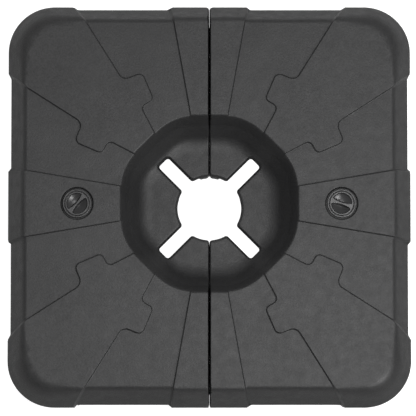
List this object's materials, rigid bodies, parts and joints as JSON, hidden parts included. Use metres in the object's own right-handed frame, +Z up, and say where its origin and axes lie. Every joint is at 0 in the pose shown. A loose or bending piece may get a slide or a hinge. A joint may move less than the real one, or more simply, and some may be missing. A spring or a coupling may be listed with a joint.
{
  "type": "parasol base",
  "caption": "Square fillable parasol base in two hollow plastic halves around a cross-slotted mast hole, each half with a screw filler cap.",
  "frame": {"origin": "centre of the mast hole, on the ground", "axes": "+Z up; the seam between the halves runs along Y, and the filler caps lie on the X axis"},
  "size_m": [0.78, 0.78, 0.135],
  "materials": {
    "tank_plastic": "fine-grained matte blow-moulded polyethylene, dark grey",
    "cap_plastic": "smooth satin injection-moulded plastic, darker grey",
    "seal_rubber": "matte black rubber"
  },
  "bodies": {
    "left_tank": {"left_tank": "tank_plastic"},
    "right_tank": {"right_tank": "tank_plastic"},
    "left_seal": {"left_cap_seal": "seal_rubber"},
    "left_cap": {"left_filler_cap": "cap_plastic"},
    "right_seal": {"right_cap_seal": "seal_rubber"},
    "right_cap": {"right_filler_cap": "cap_plastic"}
  },
  "joints": [
    {"name": "halves_apart", "type": "slide", "parent": "left_tank", "child": "right_tank", "axis": [1, 0, 0], "range_m": [0, 0.3]},
    {"name": "left_cap_lift", "type": "slide", "parent": "left_tank", "child": "left_seal", "axis": [0, 0, 1], "range_m": [0, 0.0142]},
    {"name": "left_cap_turn", "type": "hinge", "parent": "left_seal", "child": "left_cap", "pos_m": [-0.255, 0, 0.13], "axis": [0, 0, 1], "range_deg": [0, 1260]},
    {"name": "right_cap_lift", "type": "slide", "parent": "right_tank", "child": "right_seal", "axis": [0, 0, 1], "range_m": [0, 0.0142]},
    {"name": "right_cap_turn", "type": "hinge", "parent": "right_seal", "child": "right_cap", "pos_m": [0.255, 0, 0.13], "axis": [0, 0, 1], "range_deg": [0, 1260]}
  ],
  "couplings": [
    {"joint": "left_cap_lift", "follows": "left_cap_turn", "m_per_rad": 0.00063662},
    {"joint": "right_cap_lift", "follows": "right_cap_turn", "m_per_rad": 0.00063662}
  ]
}
